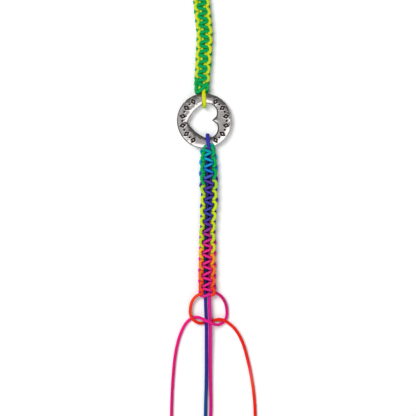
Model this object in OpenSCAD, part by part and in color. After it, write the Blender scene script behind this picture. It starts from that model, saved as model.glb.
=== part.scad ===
// A knotted friendship bracelet that lies open on a table: a round metal ring with a
// heart-shaped hole, a square-knotted cord band tied to each side of it, and the loose
// cord ends that the bracelet is tied on with. Millimetres. The origin is on the table,
// under the centre of the ring. The bands run along Y and the ring's face looks up, +Z.

/* [Ring] */
// Outer diameter of the metal ring
ring_d = 22; // [20:0.5:25]
// Thickness of the ring's metal
ring_t = 1.8; // [1.4:0.1:2.2]
// How far the face falls from its flat middle to the outer edge
ring_drop = 0.7; // [0.4:0.1:0.8]
// Width of the rounded outer part of the face
ring_shoulder_w = 2.5; // [1.5:0.1:3]
// Radius of the heart hole's two round lobes
heart_lobe_r = 3.9; // [3.4:0.1:4]
// Distance of each lobe's centre from the heart's own middle line
heart_lobe_y = 3.05; // [2.6:0.05:3.1]
// Distance of the lobes' centres from the ring's centre, away from the heart's point
heart_lobe_x = 1.3; // [0.8:0.1:1.6]
// Distance of the heart's point from the ring's centre
heart_point = 6.8; // [6:0.1:7]
// Radius of the heart's two long sides
heart_side_r = 14; // [10:0.5:20]
// Turn of the heart about the ring's centre, in degrees
heart_turn = 3.3; // [-8:0.1:8]
// Bevel of the heart hole's edges, on both faces
heart_bevel = 0.4; // [0.3:0.05:0.5]
// Depth of the stamped marks below the face
mark_depth = 0.45; // [0.3:0.05:0.6]
// Length of a stamped lozenge, from the ring's centre outwards
mark_len = 2.3; // [1.6:0.1:2.4]
// Width of a stamped lozenge
mark_w = 1.6; // [1.2:0.1:1.9]
// Width of the lozenge's groove
groove_w = 0.42; // [0.3:0.02:0.5]
// Diameter of the stamped dots between the lozenges
dot_d = 0.7; // [0.5:0.05:0.9]
// Distance of the marks' centres from the outer edge
mark_inset = 2.1; // [1.9:0.1:2.3]

/* [Cords] */
// Diameter of the core cord, which is folded round the ring
core_d = 1.4; // [1.2:0.05:1.5]
// Diameter of the knotting cord, which is tied round the core
knot_d = 1.3; // [1.2:0.05:1.4]

/* [Bands] */
// Length of each knotted band
band_len = 58; // [45:0.5:75]
// How far the knots' side loops stand out from the core
loop_out = 2.1; // [1.8:0.1:2.5]
// Length of one square knot in the band above the ring
upper_pitch = 3.8; // [3.4:0.1:4.6]
// Length of one square knot in the band below the ring
lower_pitch = 4.4; // [3.8:0.1:5]

/* [Hidden] */

// Space kept between a cord and the metal, and between one cord and the next
cord_gap = 0.1;
// Space kept between the ring's outer edge and a band
band_gap = 0.6;

core_r = core_d / 2;
knot_r = knot_d / 2;
ring_r = ring_d / 2;
// The ring lies on the two loops of core cord that pass under it
ring_z = core_d + 2 * cord_gap;
ring_top = ring_z + ring_t;
cut = 1;

// Marks on each of the ring's two sides, and the angle from one to the next
lozenges_a_side = 6;
lozenge_step = 24;

// Half the width and half the thickness of a band: the core with a knotting cord all round
band_half_w = core_d + loop_out;
band_half_t = core_r + knot_d;
band_start = ring_r + band_gap;
band_end = band_start + band_len;

// A band's relief: depths as shares of its half sizes, places as shares of one square knot
face_relief = 0.3;
side_relief = 0.14;
slant = 0.21;
ridge_reach = 0.22;
section_squareness = 0.75;
stations_a_knot = 6;
section_points = 16;

// The sideways drift of a band. Columns: share of band_len from the ring, share of a band's width
upper_drift = [[0, -0.15], [0.2, -0.08], [0.4, 0.01], [0.65, -0.17], [1, -0.3]];
lower_drift = [[0, 0.21], [0.2, 0.27], [0.4, 0.26], [0.7, 0.18], [1, 0.17]];

// The loops of core cord round the ring: how far they stay off the heart hole's edge,
// and their places across the ring at the band and in the hole
loop_slack = 0.25;
upper_loop_x = [-0.3, 0];
lower_loop_x = [2, 1.3];

// Heights of a cord's centre: lying on the table, or crossing what lies there
core_down = core_r;
core_over_knot = knot_d + 1.5 * cord_gap + core_r;
knot_down = knot_r;
knot_over_knot = knot_d + 1.5 * cord_gap + knot_r;
knot_over_core = core_over_knot + core_r + cord_gap + knot_r;

// Routes of the loose cords. Columns: X and Y from the middle of the band's end, and the height
core_left_route = [
    [-0.8, 0, band_half_t], [-0.7, -4, core_over_knot], [-0.5, -10, core_over_knot],
    [-0.4, -14, core_over_knot], [-0.4, -19, 1.6], [-0.4, -24, 0.9], [-0.4, -29, core_down],
    [-0.5, -37, core_down], [-0.7, -45, core_down], [-0.8, -53, core_down]];
core_right_route = [
    [0.8, 0, band_half_t], [0.9, -4, core_over_knot], [1.1, -10, core_over_knot],
    [1.2, -14, core_over_knot], [1.2, -19, 1.6], [1.2, -24, 0.9], [1.2, -29, core_down],
    [1.3, -37, core_down], [1.4, -45, core_down], [1.2, -53, core_down]];
// From the band's right, under the other cord, over the core and away to the left
knot_front_route = [
    [2.6, 0, 2.0], [4.2, -0.6, 1.8], [5.6, -1.6, 1.4], [6.8, -3.3, 0.9], [7.6, -6.2, knot_down],
    [7.4, -9.4, knot_down], [6.1, -11.5, 0.8], [4.2, -12.3, 1.5], [2.6, -12.0, 2.9],
    [1.4, -11.4, knot_over_core], [-1.0, -10.3, knot_over_core], [-2.3, -9.7, 2.6],
    [-3.8, -9.3, 1.3], [-5.4, -9.4, knot_down], [-7.1, -10.3, knot_down], [-8.9, -12.2, knot_down],
    [-11.0, -16.6, knot_down], [-12.6, -22.8, knot_down], [-13.6, -31, knot_down],
    [-14.2, -41, knot_down], [-14.5, -53, knot_down]];
// From the band's left, over the other cord, under the core, over again and away to the right
knot_back_route = [
    [-2.6, 0, 2.0], [-4.1, -0.7, 1.8], [-5.4, -1.8, 1.5], [-6.4, -3.6, 1.2], [-6.9, -6.2, 1.3],
    [-6.8, -8.2, 1.8], [-6.0, -9.8, knot_over_knot], [-4.7, -11.0, 1.7], [-3.2, -11.6, 1.0],
    [-1.6, -11.6, knot_down], [0.2, -11.3, knot_down], [1.9, -10.8, knot_down], [3.2, -10.4, 1.1],
    [4.8, -10.1, 1.8], [6.5, -10.4, knot_over_knot], [8.4, -11.5, 1.5], [11.4, -14.4, knot_down],
    [14.2, -19.6, knot_down], [16.2, -26.4, knot_down], [17.8, -34, knot_down],
    [18.9, -42.5, knot_down], [19.3, -53, knot_down]];
// The four ends above the upper band, in the same columns
upper_core_left_route = [
    [-0.8, 0, band_half_t], [-1.1, 6, 1.5], [-1.8, 12, 0.8], [-3.0, 19, core_down],
    [-4.1, 26, core_down], [-4.4, 34, core_down]];
upper_core_right_route = [
    [0.8, 0, band_half_t], [0.9, 6, 1.5], [1.2, 12, 0.8], [1.2, 19, core_down],
    [0.6, 26, core_down], [0.2, 33, core_down]];
upper_knot_left_route = [
    [-2.6, 0, 2.0], [-4.4, 5, 1.2], [-6.9, 10.5, knot_down], [-9.8, 17, knot_down],
    [-11.5, 24, knot_down], [-12.1, 32, knot_down]];
upper_knot_right_route = [
    [2.6, 0, 2.0], [4.1, 5, 1.2], [6.2, 10.5, knot_down], [7.8, 17, knot_down],
    [8.0, 24, knot_down], [7.2, 31.5, knot_down]];
cord_sides = 8;

// Vector helpers and the facets of a skin of rings, n points in each ring, closed at both ends
function unit(v) = v / norm(v);
function skin_faces(rings, n) = concat(
    [[for (j = [n - 1:-1:0]) j]],
    [for (i = [0:rings - 2], j = [0:n - 1], half = [0, 1])
        let (a = i * n + j, b = i * n + (j + 1) % n)
            half == 0 ? [a, b, b + n] : [a, b + n, a + n]],
    [[for (j = [0:n - 1]) (rings - 1) * n + j]]);

// A round cord carried along a route. end_dirs are its directions at its two ends, and
// across is a direction that the route never runs along.
function route_dir(route, i, end_dirs) =
    i == 0 ? end_dirs[0] :
    i == len(route) - 1 ? end_dirs[1] :
    unit(unit(route[i + 1] - route[i]) + unit(route[i] - route[i - 1]));
function cord_ring(centre, dir, across, r) =
    let (u = unit(across - (across * dir) * dir), v = cross(dir, u))
        [for (j = [0:cord_sides - 1])
            let (a = (j + 0.5) * 360 / cord_sides) centre + r * (cos(a) * u + sin(a) * v)];
module cord(route, r, end_dirs, across = [0, 0, 1]) {
    rings = [for (i = [0:len(route) - 1])
        cord_ring(route[i], route_dir(route, i, end_dirs), across, r)];
    polyhedron(points = [for (ring = rings) each ring],
        faces = skin_faces(len(route), cord_sides));
}

// The heart hole's form, h high from z = 0, its outline wider by low there and by high at the top
module heart(h, low = 0, high = 0) {
    point = [-heart_point, 0];
    lobe = [heart_lobe_x, heart_lobe_y];
    // Each long side is an arc from the point that touches its lobe from inside
    apart = norm(lobe - point);
    along = (pow(heart_side_r, 2) - pow(heart_side_r - heart_lobe_r, 2) + pow(apart, 2)) / (2 * apart);
    aside = sqrt(pow(heart_side_r, 2) - pow(along, 2));
    to_lobe = unit(lobe - point);
    side = point + along * to_lobe + aside * [to_lobe.y, -to_lobe.x];
    touch = lobe + (heart_lobe_r + cut) * unit(lobe - side);
    far = heart_point + cut;
    for (turn = [1, -1])
        translate([lobe.x, turn * lobe.y, 0])
            cylinder(h = h, r1 = heart_lobe_r + low, r2 = heart_lobe_r + high, $fn = 64);
    intersection() {
        translate([side.x, side.y, 0])
            cylinder(h = h, r1 = heart_side_r + low, r2 = heart_side_r + high, $fn = 128);
        translate([side.x, -side.y, 0])
            cylinder(h = h, r1 = heart_side_r + low, r2 = heart_side_r + high, $fn = 128);
        linear_extrude(h)
            polygon([touch, lobe, [lobe.x, -lobe.y], [touch.x, -touch.y], [-far, -far], [-far, far]]);
    }
}
module heart_hole() {
    flare = heart_bevel + cut;
    rotate([0, 0, heart_turn]) {
        translate([0, 0, -cut])
            heart(ring_t + 2 * cut);
        translate([0, 0, ring_t - heart_bevel])
            heart(flare, 0, flare);
        translate([0, 0, -cut])
            heart(flare, flare, 0);
    }
}
// A stamped mark's sunken outline: a lozenge drawn with a groove
module lozenge_groove() {
    difference() {
        polygon([[mark_len / 2, 0], [0, mark_w / 2], [-mark_len / 2, 0], [0, -mark_w / 2]]);
        polygon([[mark_len / 2 - groove_w * 1.5, 0], [0, mark_w / 2 - groove_w],
            [-mark_len / 2 + groove_w * 1.5, 0], [0, -mark_w / 2 + groove_w]]);
    }
}
module ring_charm() {
    mark_r = ring_r - mark_inset;
    edge_z = ring_t - ring_drop;
    corner = 0.3;
    shoulder_start = ring_r - ring_shoulder_w;
    color("silver")
        translate([0, 0, ring_z])
            difference() {
                rotate_extrude($fn = 128)
                    polygon(concat([[0, ring_t], [0, 0], [ring_r - corner, 0], [ring_r, corner]],
                        [for (a = [90:-15:0])
                            [shoulder_start + ring_shoulder_w * sin(a), edge_z + ring_drop * cos(a)]]));
                heart_hole();
                for (side = [0, 180], i = [0:lozenges_a_side - 1])
                    rotate([0, 0, side + (i - (lozenges_a_side - 1) / 2) * lozenge_step])
                        translate([mark_r, 0, ring_t - mark_depth])
                            linear_extrude(mark_depth + cut)
                                lozenge_groove();
                for (side = [0, 180], i = [0:lozenges_a_side - 2])
                    rotate([0, 0, side + (i - (lozenges_a_side - 2) / 2) * lozenge_step])
                        translate([mark_r, 0, ring_t - mark_depth])
                            cylinder(h = mark_depth + cut, d = dot_d, $fn = 24);
            }
}

// The core cord's loop round the ring, from the band over the ring's face, down through
// the heart hole and back under the ring. side is 1 for the loop above the ring, -1 below.
module ring_loop(side, xs) {
    over_z = ring_top + cord_gap + core_r;
    bend_r = (over_z - core_r) / 2;
    hole_edge = heart_lobe_y + heart_lobe_r;
    bend_y = hole_edge - core_r - cord_gap - loop_slack + bend_r;
    leg_z = 2 * band_half_t - core_r;
    spine = concat(
        [[band_start, leg_z], [ring_r - cord_gap, over_z - core_r / 2], [ring_r - core_d, over_z]],
        [for (a = [90:30:270]) [bend_y + bend_r * cos(a), core_r + bend_r * (1 + sin(a))]],
        [[ring_r - core_d, core_r], [band_start, core_r]]);
    function x_at(y) = lookup(y, [[bend_y, xs[1]], [band_start, xs[0]]]);
    cord([for (p = spine) [x_at(p[0]), side * p[0], p[1]]], core_r,
        [[0, -side, 0], [0, side, 0]], [1, 0, 0]);
}
module upper_ring_loop() color("gold") ring_loop(1, upper_loop_x);
module lower_ring_loop() color("royalblue") ring_loop(-1, lower_loop_x);

// A knotted band. Its face carries one slanting ridge for each crossing of the knotting
// cord, its underside the same ridges slanting the other way, and its two sides bulge in
// turn, half a knot apart. u runs from -1 at the left to 1 at the right, and knot counts knots.
function off_whole(v) = abs(v - round(v));
function ridge(knot, u, way) =
    let (near = min(off_whole(knot - 0.25 - way * slant * u), off_whole(knot - 0.75 + way * slant * u)))
        1 - face_relief * pow(min(1, near / ridge_reach), 2);
function bulge(knot, u) = 1 - side_relief * (0.5 + 0.5 * sign(u) * cos(360 * knot));
function squared(v) = sign(v) * pow(abs(v), section_squareness);
function band_section(knot) =
    [for (j = [0:section_points - 1])
        let (a = (j + 0.5) * 360 / section_points, u = squared(cos(a)), s = squared(sin(a)))
            [band_half_w * u * bulge(knot, u), band_half_t * s * ridge(knot, u, sign(s))]];
function drift_x(drift, share) = 2 * band_half_w * lookup(share, drift);
module band(side, pitch, drift) {
    stations = round(band_len / pitch * stations_a_knot);
    points = [for (i = [0:stations])
        let (share = i / stations)
            each [for (p = band_section(share * band_len / pitch))
                [side * p[0] + drift_x(drift, share), side * (band_start + share * band_len),
                    band_half_t + p[1]]]];
    polyhedron(points = points, faces = skin_faces(stations + 1, section_points));
}
module upper_band() color("yellowgreen") band(1, upper_pitch, upper_drift);
module lower_band() color("mediumvioletred") band(-1, lower_pitch, lower_drift);

// The loose ends, laid from the middle of a band's far end
module lower_end(route, r)
    translate([drift_x(lower_drift, 1), -band_end, 0])
        cord(route, r, [[0, -1, 0], [0, -1, 0]]);
module upper_end(route, r)
    translate([drift_x(upper_drift, 1), band_end, 0])
        cord(route, r, [[0, 1, 0], unit(route[len(route) - 1] - route[len(route) - 2])]);
module core_strand_left() color("mediumblue") lower_end(core_left_route, core_r);
module core_strand_right() color("deeppink") lower_end(core_right_route, core_r);
module knot_strand_front() color("hotpink") lower_end(knot_front_route, knot_r);
module knot_strand_back() color("orangered") lower_end(knot_back_route, knot_r);
module upper_core_tail_left() color("yellow") upper_end(upper_core_left_route, core_r);
module upper_core_tail_right() color("gold") upper_end(upper_core_right_route, core_r);
module upper_knot_tail_left() color("green") upper_end(upper_knot_left_route, knot_r);
module upper_knot_tail_right() color("limegreen") upper_end(upper_knot_right_route, knot_r);

ring_charm();
upper_ring_loop();
lower_ring_loop();
upper_band();
lower_band();
core_strand_left();
core_strand_right();
knot_strand_front();
knot_strand_back();
upper_core_tail_left();
upper_core_tail_right();
upper_knot_tail_left();
upper_knot_tail_right();
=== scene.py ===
"""A knotted friendship bracelet that lies open on a white table, seen from straight above.

A cast metal ring with a heart-shaped hole lies between two bands. Each band is a cord of
square knots: one knotting cord zigzags over a two-strand core, the other runs behind it and
loops forward at each side. The cords are round braided nylon, dyed in stretches of colour.

Lengths in the tables are millimetres, and MM turns them into the frame's metres. A band has
its own coordinates: across (to the photograph's right), down (away from the ring) and height.
"""

import math

import bpy
import numpy as np
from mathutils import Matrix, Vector


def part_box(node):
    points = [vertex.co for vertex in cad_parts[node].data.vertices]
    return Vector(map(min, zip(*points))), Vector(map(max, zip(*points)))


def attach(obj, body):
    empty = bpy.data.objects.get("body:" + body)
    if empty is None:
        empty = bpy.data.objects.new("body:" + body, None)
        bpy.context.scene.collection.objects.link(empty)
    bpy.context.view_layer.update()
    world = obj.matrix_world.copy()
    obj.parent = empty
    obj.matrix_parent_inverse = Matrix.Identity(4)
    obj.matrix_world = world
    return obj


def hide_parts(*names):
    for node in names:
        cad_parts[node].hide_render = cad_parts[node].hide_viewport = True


MM = 0.001
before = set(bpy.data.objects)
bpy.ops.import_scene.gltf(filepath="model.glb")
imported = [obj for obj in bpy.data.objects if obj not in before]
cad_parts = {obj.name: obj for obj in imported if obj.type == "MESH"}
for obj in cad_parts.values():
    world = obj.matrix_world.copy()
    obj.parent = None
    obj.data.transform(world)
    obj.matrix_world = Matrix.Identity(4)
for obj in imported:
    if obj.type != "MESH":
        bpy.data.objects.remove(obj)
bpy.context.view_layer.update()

# Cord sizes: loose cord, and the thinner cord that the knots pull tight
CORE_D = 1.4
KNOT_D = 1.3
TIGHT_D = 1.25
UPPER_FRONT_D = 1.42
LOWER_FRONT_D = 1.05
TIGHT_CORE_D = 1.3
# By the ring the lower band's knots are packed tightest, and over this run the cords thicken
LOWER_FRONT_FIRST_D = 0.95
LOWER_BACK_FIRST_D = 1.0
FIRST_RUN = 16
# Over this run a cord's end takes on the size and roundness of the piece that it meets
END_RUN = 2
# Shares by which a core strand is widened across and thinned in height
CORE_SQUASH = (1.22, 0.92)
LOOP_SQUASH = (1.2, 0.88)

# The braid: strands that lean each way, the length of one crossing, and samples in each
BRAID_STRANDS = 6
BRAID_LAY = 0.7
BRAID_SAMPLES = 5
BRAID_DEPTH = 0.11
CORD_SIDES = BRAID_STRANDS * BRAID_SAMPLES
RING_STEP = BRAID_LAY / BRAID_SAMPLES
TIP_RINGS = 6

# The camera's height, the width that the picture spans, and the picture's middle
VIEW_HEIGHT = 1200
VIEW_WIDTH = 167
VIEW_MIDDLE = (1.45, -35.0)

# The light, with the lamp's size and place in metres, and how much brighter than its cords
# the photograph is
LAMP_WATTS = 14.0
LAMP_SIZE = 0.8
LAMP_PLACE = np.array([-0.5, 0.43, 1.08])
ROOM_LIGHT = 1.04
EXPOSURE = 1.17

# The sideways drift of each band's middle. Columns: share of the band's length, across
UPPER_DRIFT = [[0, -1.05], [0.2, -0.56], [0.4, 0.07], [0.65, -1.19], [1, -2.1]]
LOWER_DRIFT = [[0, 1.47], [0.2, 1.89], [0.4, 1.82], [0.7, 1.26], [1, 1.19]]

# Where the core's loops cross the ring: across at the band, and across in the heart hole. They
# reach this much nearer the middle of the hole than their solids
UPPER_LOOP_ACROSS = [-0.3, 0]
LOWER_LOOP_ACROSS = [2, 1.3]
LOOP_SLACK = 0.35

# Heights of a cord's centre: on the table, or crossing what lies there
BAND_MIDDLE = 2.0
CORE_DOWN = 0.7
CORE_OVER_KNOT = 2.15
KNOT_DOWN = 0.65
KNOT_OVER_KNOT = 2.1
KNOT_OVER_CORE = 3.6

# Routes of the loose cords. Columns: across and along from the middle of the band's end,
# where along is positive towards the top of the photograph, and the height
CORE_LEFT_ROUTE = [
    [-0.8, 0, BAND_MIDDLE], [-0.7, -4, CORE_OVER_KNOT], [-0.5, -10, CORE_OVER_KNOT],
    [-0.4, -14, CORE_OVER_KNOT], [-0.4, -19, 1.9], [-0.4, -24, 1.55], [-0.4, -29, 1.25],
    [-0.5, -37, 0.95], [-0.7, -45, 0.8], [-0.8, -53, CORE_DOWN]]
CORE_RIGHT_ROUTE = [
    [0.8, 0, BAND_MIDDLE], [0.9, -4, CORE_OVER_KNOT], [1.1, -10, CORE_OVER_KNOT],
    [1.2, -14, CORE_OVER_KNOT], [1.2, -19, 1.9], [1.2, -24, 1.55], [1.2, -29, 1.25],
    [1.3, -37, 0.95], [1.4, -45, 0.8], [1.2, -53, CORE_DOWN]]
KNOT_FRONT_ROUTE = [
    [3.1, 0.5, 1.9], [4.35, 0.05, 1.85], [5.75, -1.1, 1.65], [7.1, -3.3, 1.3], [7.8, -6.3, 0.85],
    [7.6, -9.4, KNOT_DOWN], [6.1, -11.5, 0.8], [4.2, -12.3, 1.5], [2.6, -12, 2.9],
    [1.4, -11.4, KNOT_OVER_CORE], [-1, -10.3, KNOT_OVER_CORE], [-2.3, -9.7, 2.6],
    [-3.8, -9.3, 1.3], [-5.4, -9.4, KNOT_DOWN], [-7.1, -10.3, KNOT_DOWN], [-8.9, -12.2, KNOT_DOWN],
    [-11, -16.6, KNOT_DOWN], [-12.6, -22.8, KNOT_DOWN], [-13.6, -31, KNOT_DOWN],
    [-14.2, -41, KNOT_DOWN], [-14.5, -53, KNOT_DOWN]]
KNOT_BACK_ROUTE = [
    [-2.7, 0.1, 2], [-4.1, -0.6, 1.9], [-5.4, -1.8, 1.8], [-6.4, -3.6, 1.7], [-6.9, -6.2, 1.75],
    [-6.8, -8.2, 1.95], [-6, -9.8, KNOT_OVER_KNOT], [-4.7, -11, 1.7], [-3.2, -11.6, 1],
    [-1.6, -11.6, KNOT_DOWN], [0.2, -11.3, KNOT_DOWN], [1.9, -10.8, KNOT_DOWN], [3.2, -10.4, 1.1],
    [4.8, -10.1, 1.8], [6.5, -10.4, KNOT_OVER_KNOT], [8.4, -11.5, 1.8], [11.4, -14.4, 1.4],
    [14.2, -19.6, 1.1], [16.2, -26.4, 0.9], [17.8, -34, 0.75], [18.9, -42.5, KNOT_DOWN],
    [19.3, -53, KNOT_DOWN]]
UPPER_CORE_LEFT_ROUTE = [
    [-0.8, 0, BAND_MIDDLE], [-1.1, 6, 1.5], [-1.8, 12, 0.8], [-3, 19, CORE_DOWN],
    [-4.1, 26, CORE_DOWN], [-4.4, 34, CORE_DOWN]]
UPPER_CORE_RIGHT_ROUTE = [
    [0.8, 0, BAND_MIDDLE], [0.9, 6, 1.5], [1.2, 12, 0.8], [1.2, 19, CORE_DOWN],
    [0.6, 26, CORE_DOWN], [0.2, 33, CORE_DOWN]]
UPPER_KNOT_LEFT_ROUTE = [
    [-2.6, 0, 2], [-4.4, 5, 1.2], [-6.9, 10.5, KNOT_DOWN], [-9.8, 17, KNOT_DOWN],
    [-11.5, 24, KNOT_DOWN], [-12.1, 32, KNOT_DOWN]]
UPPER_KNOT_RIGHT_ROUTE = [
    [2.6, 0, 2], [4.1, 5, 1.2], [6.2, 10.5, KNOT_DOWN], [7.8, 17, KNOT_DOWN], [8, 24, KNOT_DOWN],
    [7.2, 31.5, KNOT_DOWN]]

# The knots. A cusp is where the side loops of two knots meet, listed by how far down the band
# it lies. Cusps take turns, right first
UPPER_CUSPS = [
    -0.6, 1.65, 4.06, 5.62, 7.25, 9.2, 11.1, 13.25, 15.35, 17.35, 19.15, 21.3, 23.1, 25.1, 26.9,
    28.7, 30.55, 32.4, 34.3, 36.1, 37.9, 39.8, 41.7, 43.65, 45.6, 47.6, 49.6, 51.6, 53.55, 55.5]
LOWER_CUSPS = [
    -1.5, 0.5, 2.9, 5.02, 7.39, 9.6, 11.93, 14.3, 16.14, 18.4, 20.3, 22.7, 24.9, 26.9, 29.1, 30.9,
    33.4, 35.2, 37.6, 39.5, 41.7, 44, 46.4, 48.4, 51, 52.7, 55.4, 56.9, 58.7]
# Crossings whose middle isn't halfway between their cusps: their count, and where it is
UPPER_MIDDLES = {0: 0.9, 1: 2.75}
LOWER_MIDDLES = {0: 0.5, -1: 58.15}
# How far out the cords lie at the cusps. Columns: down the band, on the left, on the right
UPPER_FRONT_REACH = [
    [0, 2.15, 2.15], [2.8, 2.45, 2.3], [4.4, 2.7, 2.45], [6, 2.55, 2.5], [9, 2.45, 2.6],
    [11, 2.5, 2.85], [17, 2.5, 2.85], [19, 2.45, 2.7], [22, 2.7, 2.65], [26, 2.7, 2.6],
    [28, 2.85, 2.55], [37, 2.85, 2.55], [57, 2.6, 2.6]]
UPPER_BACK_REACH = [
    [0, 2.3, 2.1], [1.65, 2.6, 2.2], [4, 2.6, 2.4], [5.6, 2.5, 2.5], [9, 2.5, 2.5],
    [11, 2.5, 2.65], [17, 2.5, 2.65], [22, 2.65, 2.6], [28, 2.8, 2.55], [37, 2.8, 2.55],
    [57, 2.55, 2.55]]
LOWER_FRONT_REACH = [
    [0.5, 2.8, 2.8], [2, 2.85, 3.05], [5, 3.3, 3.2], [7.4, 3.45, 3.15], [9.5, 3.55, 3.35],
    [12, 3.5, 3.15], [14.3, 3.5, 2.9], [16, 3.25, 2.9], [18.5, 2.9, 3.1], [22, 3.1, 3.25],
    [26, 2.95, 2.5], [31, 2.9, 2.4], [33, 2.95, 2.5], [36, 3.15, 3], [39, 3, 3.05],
    [44, 3.05, 3.3], [48, 3.25, 3.1], [53, 3.3, 3.15], [57, 3.2, 3.2]]
LOWER_BACK_REACH = [
    [0, 2.25, 2.2], [2.5, 2.5, 2.45], [6, 2.9, 2.8], [9, 3.1, 2.85], [14, 3.1, 2.75],
    [18.5, 2.9, 2.85], [23, 2.95, 2.8], [27, 2.95, 2.45], [32, 2.9, 2.3], [36, 3, 2.55],
    [40, 2.95, 2.6], [46, 3.05, 2.7], [53, 3.1, 2.7], [58, 3.1, 2.7]]
# The knotting cords between a cusp and the middle of a crossing. Columns: share of the reach
# across, share of the way from the cusp to the middle, height. The front cord's half crossing
# starts at its turn. The back cord rises at one cusp and falls at the cusp after next
UPPER_HALF = [
    [1, 0, 1.55], [0.98, 0.48, 1.6], [0.89, 1.05, 1.9], [0.75, 1.33, 2.4], [0.58, 1.38, 2.95],
    [0.34, 1.24, 3.22], [0, 1, 3.27]]
LOWER_HALF = [
    [1, 0, 1.45], [0.95, 0.6, 1.4], [0.82, 1.25, 1.35], [0.62, 1.54, 1.9], [0.47, 1.52, 2.65],
    [0.28, 1.34, 3.15], [0, 1, 3.27]]
BACK_RISE = [
    [0.42, 0.45, 0.72], [0.58, 0.45, 1.3], [0.6, 0.45, 2.1], [0.68, 0.42, 2.75], [0.84, 0.55, 3.1],
    [0.96, 1, 3.12], [1, 1.7, 3.05]]
BACK_FALL = [
    [0.96, 1.6, 3.1], [0.84, 1.05, 3.15], [0.7, 0.62, 2.9], [0.62, 0.45, 2.1], [0.58, 0.45, 1.3],
    [0.42, 0.45, 0.72]]
# How high the back cord passes behind the core and the core lies, and how far each of the
# core's strands lies from the band's middle
BACK_DOWN = 0.6
UPPER_CORE_HEIGHT = 2.1
LOWER_CORE_HEIGHT = 1.85
CORE_APART = 0.76
# The colour of the light deep between the cords, and the heights over which it gives way
UPPER_DEEP = "#0A8C46"
LOWER_DEEP = "#0C0820"
UPPER_OPEN = (2.1, 2.55)
LOWER_OPEN = (1.9, 2.9)
# Both knotting cords of a band start from one bight that passes between the loop's two legs.
# The front cord goes right, over the core to the left and round. The back cord goes left over
# it, down, behind the core and up on the right. Columns: across, down the band, height
UPPER_FRONT_START = [
    [0.4, 0.15, 2.05], [1.2, 0, 1.75], [1.7, -0.4, 1.15], [2, -0.1, 1], [2.25, 0.8, 1.4],
    [2.2, 1.7, 2.2], [1.5, 2.35, 3.1], [0.2, 1.35, 3.75], [-0.9, 0.35, 3.6], [-1.6, 0, 3.1],
    [-2.2, 0.2, 2.2], [-2.4, 0.9, 1.7]]
UPPER_BACK_START = [
    [0.4, 0.15, 2.05], [-0.9, 0.05, 1.8], [-1.6, -0.4, 1.15], [-2.05, -0.35, 1], [-2.35, 0.2, 1.7],
    [-2.35, 0.75, 2.6], [-2.1, 1.2, 2.95], [-1.8, 1.45, 2.3], [-1.75, 1.45, 1.3],
    [-1.3, 1.3, 0.72], [0, 0.9, 0.6], [1.1, 0.7, 0.72], [1.4, 0.7, 1.3], [1.6, 0.7, 2.1],
    [1.8, 0.75, 2.75], [2.15, 1.2, 3.1]]
LOWER_FRONT_START = [
    [0.5, 0.1, 2.1], [0.7, -0.8, 2.9], [0.85, -1.6, 3.6], [1.2, -2.15, 3.8], [1.75, -2.15, 3.75],
    [2.25, -1.5, 3.3], [2.45, -0.5, 2.4], [2.3, 0.5, 2], [1.8, 0.95, 2.6], [1, 0.85, 3.45],
    [0.2, 0.6, 3.75], [-0.7, 0.3, 3.5], [-1.6, 0.05, 2.8], [-2.4, 0.1, 2]]
LOWER_BACK_START = [
    [0.5, 0.1, 2.1], [0.3, -0.8, 2.9], [0.05, -1.5, 3.5], [-0.5, -1.6, 3.7], [-1.15, -1.35, 3.7],
    [-1.6, -0.65, 3.5], [-1.8, 0, 3.2], [-1.75, 0.55, 2.3], [-1.45, 0.6, 1.3], [-1.1, 0.5, 0.72],
    [0, 0.4, 0.6], [1, 0.35, 0.8], [1.2, 0.25, 1.6], [1.15, -0.3, 2.7], [1.2, -0.95, 3.4],
    [1.5, -1.2, 3.6], [1.75, -0.6, 3.5]]
# The last points before the upper band's loose ends, with the same columns
UPPER_FRONT_FINISH = [[-2.4, 56.8, 2.4]]
UPPER_BACK_FINISH = [[2.3, 56.6, 2.4]]
# The core's strands between the loop round the ring and the first knots, with the same columns
UPPER_LEFT_LEG = [
    [0.75, 0, 0.7], [0.2, 0.25, 0.75], [-0.7, 0.5, 1.1], [-1.2, 1, 2.1], [-1.2, 1.7, 2.4],
    [-1.05, 2.5, 2.2], [-0.85, 3.8, 2.1]]
UPPER_RIGHT_LEG = [[0.75, 0, 3.3], [0.8, 0.7, 2.95], [0.8, 1.5, 2.5], [0.76, 2.8, 2]]
LOWER_LEFT_LEG = [[0.53, 0, 3.3], [0.35, 0.6, 2.9], [-0.1, 1.3, 2.4], [-0.6, 2.4, 2]]
LOWER_RIGHT_LEG = [[0.53, 0, 0.7], [0.7, 0.5, 1.1], [0.85, 1.2, 1.7], [0.76, 2.4, 1.95]]
# Knots tied by hand differ: the usual shift of a knot across, down and up, and the most
HAND_SHIFT = [0.05, 0.05, 0.02]
HAND_SHIFT_MOST = 0.1

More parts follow.
